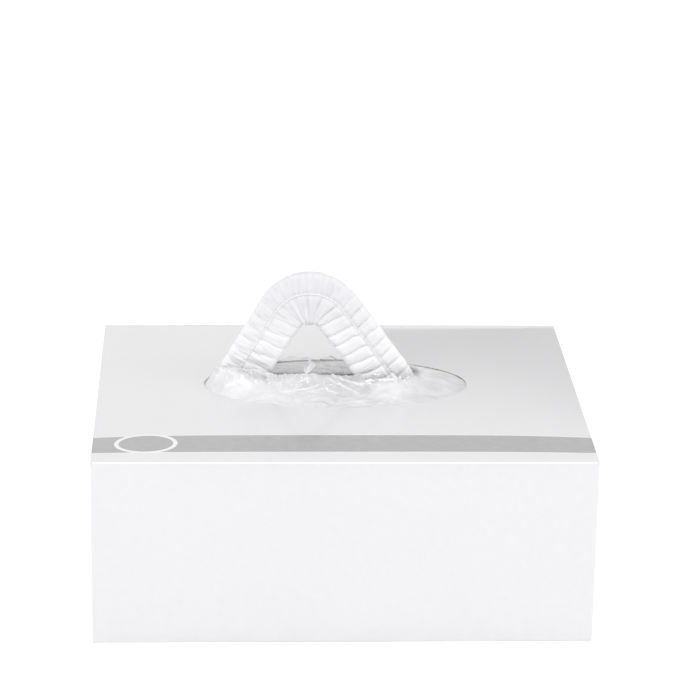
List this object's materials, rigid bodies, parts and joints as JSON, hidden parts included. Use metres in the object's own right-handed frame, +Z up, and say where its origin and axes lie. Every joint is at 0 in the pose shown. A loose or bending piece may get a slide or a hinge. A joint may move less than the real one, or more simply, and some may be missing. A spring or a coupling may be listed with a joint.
{
  "type": "pleated scrub cap and dispenser box",
  "caption": "Disposable pleated nonwoven scrub cap, folded to a strip and drawn up as an arch through the film window of a plain paperboard dispenser box.",
  "frame": {"origin": "centre of the carton's underside", "axes": "+X along the carton's long side and the oval opening, +Y from the front panel to the back one, +Z up"},
  "size_m": [0.254, 0.216, 0.1617],
  "materials": {
    "nonwoven": "soft matte spunbond",
    "elastic": "white knitted elastic",
    "film": "clear crinkled film, glossy",
    "board": "white coated paperboard, semi-gloss varnish"
  },
  "bodies": {
    "root": {"pleated_crown": "nonwoven", "front_elastic": "elastic", "back_elastic": "elastic", "film_window": "film", "carton_top": "board", "carton_bottom": "board", "carton_front": "board", "carton_back": "board", "left_upper_flap": "board", "left_lower_flap": "board", "right_upper_flap": "board", "right_lower_flap": "board"}
  },
  "joints": []
}
